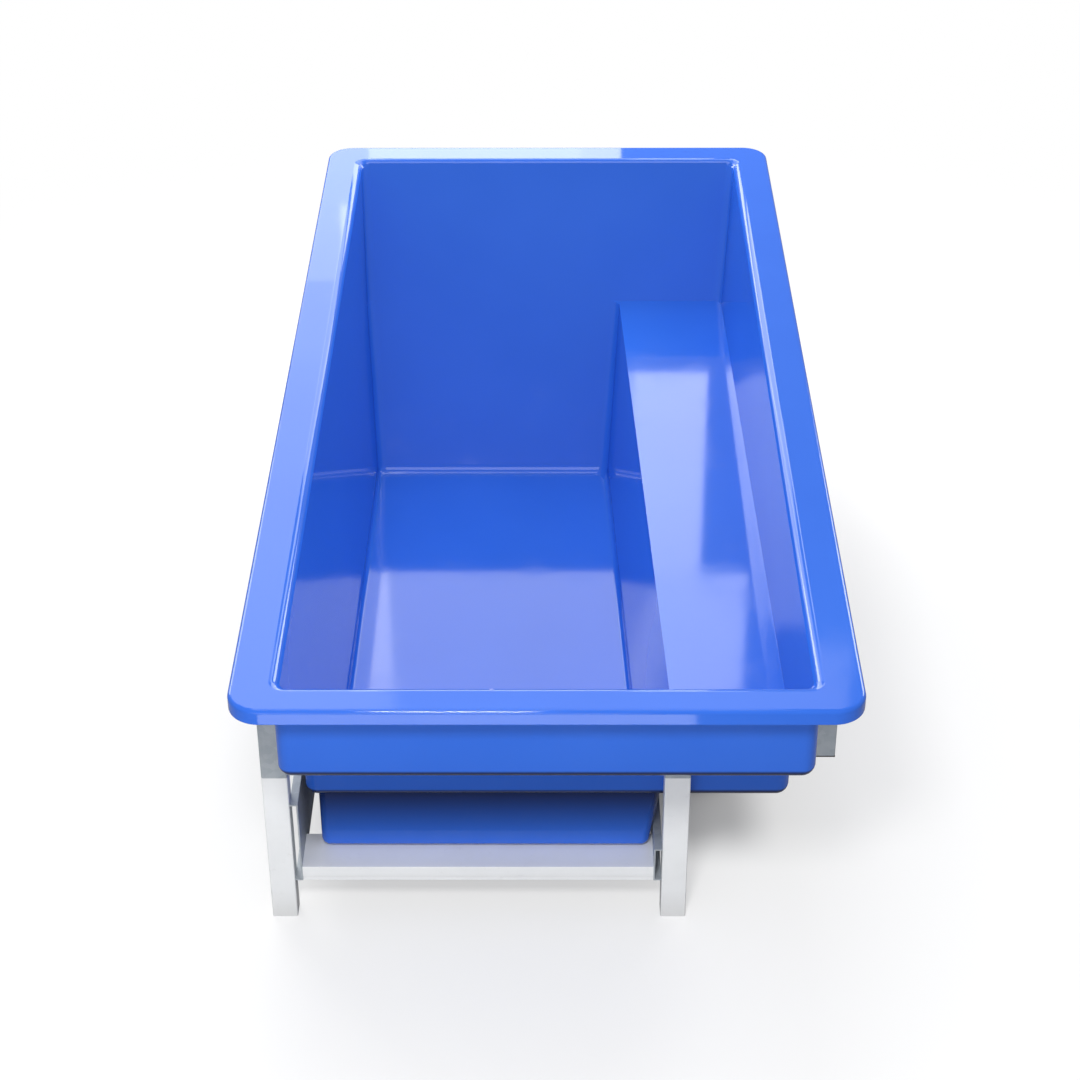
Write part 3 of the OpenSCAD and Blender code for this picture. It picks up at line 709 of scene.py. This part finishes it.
def floor_math(operation, first, second):
    """One sum of the floor's material; the second value may be a number."""
    sum_node = floor_nodes.new("ShaderNodeMath")
    sum_node.operation = operation
    floor_links.new(first, sum_node.inputs[0])
    if isinstance(second, float):
        sum_node.inputs[1].default_value = second
    else:
        floor_links.new(second, sum_node.inputs[1])
    return sum_node.outputs[0]


def mix_shaders(tree, factor, first, second):
    """Two shaders mixed by a factor."""
    mix = tree.nodes.new("ShaderNodeMixShader")
    tree.links.new(factor, mix.inputs["Fac"])
    tree.links.new(first, mix.inputs[1])
    tree.links.new(second, mix.inputs[2])
    return mix.outputs["Shader"]


def split_by_camera(tree, others, seen):
    """One shader for the camera's own rays and another for all other rays."""
    path = tree.nodes.new("ShaderNodeLightPath")
    return mix_shaders(tree, path.outputs["Is Camera Ray"], others, seen)


ground = floor_nodes.new("ShaderNodeTexCoord")
distance = floor_nodes.new("ShaderNodeVectorMath")
distance.operation = "LENGTH"
floor_links.new(ground.outputs["Object"], distance.inputs[0])
place = floor_nodes.new("ShaderNodeSeparateXYZ")
floor_links.new(ground.outputs["Object"], place.inputs[0])
whiteness = floor_ramp(distance.outputs["Value"], WHITEN_FROM, WHITEN_TO, NEAR_GLOW, FAR_GLOW)
across = floor_ramp(floor_math("ABSOLUTE", place.outputs["X"], 0.0), *SHADE_ACROSS, 1.0, 0.0)
along = floor_ramp(floor_math("ABSOLUTE", place.outputs["Y"], 0.0), *SHADE_ALONG, 1.0, 0.0)
under = floor_math("MULTIPLY", across, along)
keep = floor_math("ADD", floor_math("MULTIPLY", under, -SHADE), 1.0)
dim = floor_nodes.new("ShaderNodeBsdfDiffuse")
dim.inputs["Color"].default_value = (BOUNCE, BOUNCE, BOUNCE, 1.0)
glow = floor_nodes.new("ShaderNodeEmission")
glow.inputs["Color"].default_value = (1.0, 1.0, 1.0, 1.0)
glow.inputs["Strength"].default_value = 1.0
paper = mix_shaders(floor_material.node_tree, floor_math("MULTIPLY", whiteness, keep),
                    floor_shader.outputs["BSDF"], glow.outputs["Emission"])
floor_look = split_by_camera(floor_material.node_tree, dim.outputs["BSDF"], paper)
floor_links.new(floor_look, floor_nodes["Material Output"].inputs["Surface"])
floor.data.materials.append(floor_material)
print("floor", FLOOR_SIZE, "m wide, nodes", len(floor_nodes))

# %% [markdown]
# ## World
# The camera sees a pure white backdrop, while everything else is lit by half of that. One
# strength for both would leave the backdrop grey or fill the dark undersides.

# %% World
SKY, BACKDROP = 0.50, 1.0
world = bpy.data.worlds.new("world")
bpy.context.scene.world = world
world.use_nodes = True
sky_tree = world.node_tree
sky = sky_tree.nodes["Background"]
backdrop = sky_tree.nodes.new("ShaderNodeBackground")
for source, strength in ((sky, SKY), (backdrop, BACKDROP)):
    source.inputs["Color"].default_value = (1.0, 1.0, 1.0, 1.0)
    source.inputs["Strength"].default_value = strength
sky_look = split_by_camera(sky_tree, sky.outputs["Background"], backdrop.outputs["Background"])
sky_tree.links.new(sky_look, sky_tree.nodes["World Output"].inputs["Surface"])
print("world", SKY, "for light and", BACKDROP, "for the camera")

# %% [markdown]
# ## Mirrored cards
# Each bright patch on the gloss in the photograph is the mirror image of a white box in the
# room. A lamp stands where that image lies: boxes behind the far end for the foot well and the
# bench, a stack of cards for the left rim, and narrow cards for the rim's ends. The cards of
# the stack overlap low down, so the rim fades towards the near end, and many thin steps hide
# the single edges. One large soft box would light the tub too, but fill the bench with white.

# %% Mirrored cards
BOX_Y, CARD_Y, CARD_LOW, CARD_RIGHT = 2.05, 2.2, 1.02, -0.54


def lamp(name, at, aim, size_x, size_y, power):
    """A soft rectangular lamp aimed at a point."""
    data = bpy.data.lights.new(name, "AREA")
    data.shape = "RECTANGLE"
    data.size = size_x
    data.size_y = size_y
    data.energy = power
    item = bpy.data.objects.new(name, data)
    item.location = at
    direction = Vector(aim) - Vector(at)
    item.rotation_euler = direction.to_track_quat("-Z", "Y").to_euler()
    bpy.context.scene.collection.objects.link(item)


def card(name, at_x, at_y, at_z, wide, tall, power):
    """An upright lamp behind the far end that faces along the tub."""
    lamp(name, (at_x, at_y, at_z), (at_x, 0.0, at_z), wide, tall, power)


# Place across, along and up, width, height and watts
card("well_box", -0.175, BOX_Y, 1.83, 0.89, 0.96, 8.3)
card("bench_box_low", 0.385, BOX_Y, 1.73, 0.23, 0.76, 2.7)
card("bench_box_high", 0.465, BOX_Y, 2.54, 0.39, 0.86, 4.6)
# The top, the brightness and the width of each card in the stack
CARD_TOPS = [(3.70, 2.7, 1.10), (2.80, 0.8, 0.85), (2.30, 1.1, 0.75), (1.95, 1.0, 0.65),
             (1.75, 1.1, 0.62), (1.65, 1.0, 0.60), (1.56, 0.9, 0.60), (1.48, 0.9, 0.60),
             (1.41, 0.9, 0.60), (1.34, 0.9, 0.60)]
for top, glow_level, wide in CARD_TOPS:
    tall = top - CARD_LOW
    power = glow_level * math.pi * wide * tall
    card("rim_card", CARD_RIGHT - wide / 2, CARD_Y, CARD_LOW + tall / 2, wide, tall, power)
card("near_rim_card", 0.2, CARD_Y, 3.40, 1.7, 0.64, 4.8)
card("far_rim_card", -0.25, CARD_Y, 1.20, 0.70, 0.26, 3.2)
card("far_rim_card_long", -0.19, CARD_Y, 1.20, 0.82, 0.26, 3.4)
print("cards", len(bpy.data.lights))

# %% [markdown]
# ## Room lamps
# Two keys behind the far corners and one lamp above give the paper its soft shadow, a card low
# in front is mirrored by the near lip, and weaker lamps at the camera's side fill the near
# body and the legs. A lamp beside the camera alone would flatten the steps of the body.

# %% Room lamps
# Name, place, the point it is aimed at, width, height and watts
ROOM_LAMPS = [
    ("lip_card", (-0.17, -2.22, 0.01), (-0.17, -2.22, 1.0), 1.0, 0.34, 4.5),
    ("key_left", (-3.0, 3.7, 3.3), (0.0, 0.0, 0.6), 1.8, 1.8, 70.0),
    ("key_right", (3.0, 3.7, 3.3), (0.0, 0.0, 0.6), 1.8, 1.8, 90.0),
    ("top", (-0.2, 0.2, 4.4), (-0.2, 0.2, 0.3), 2.0, 2.0, 42.0),
    ("fill_high", (-0.3, -3.2, 3.1), (0.0, -1.0, 0.4), 0.50, 0.50, 66.0),
    ("fill", (-0.9, -4.6, 1.3), (0.0, -1.0, 0.3), 2.6, 1.6, 22.0),
    ("low_fill", (-0.6, -3.6, 0.30), (-0.15, -0.8, 0.12), 1.6, 0.24, 10.0),
]
for values in ROOM_LAMPS:
    lamp(*values)
bpy.context.scene.view_settings.view_transform = "Standard"
print("lamps", len(bpy.data.lights))
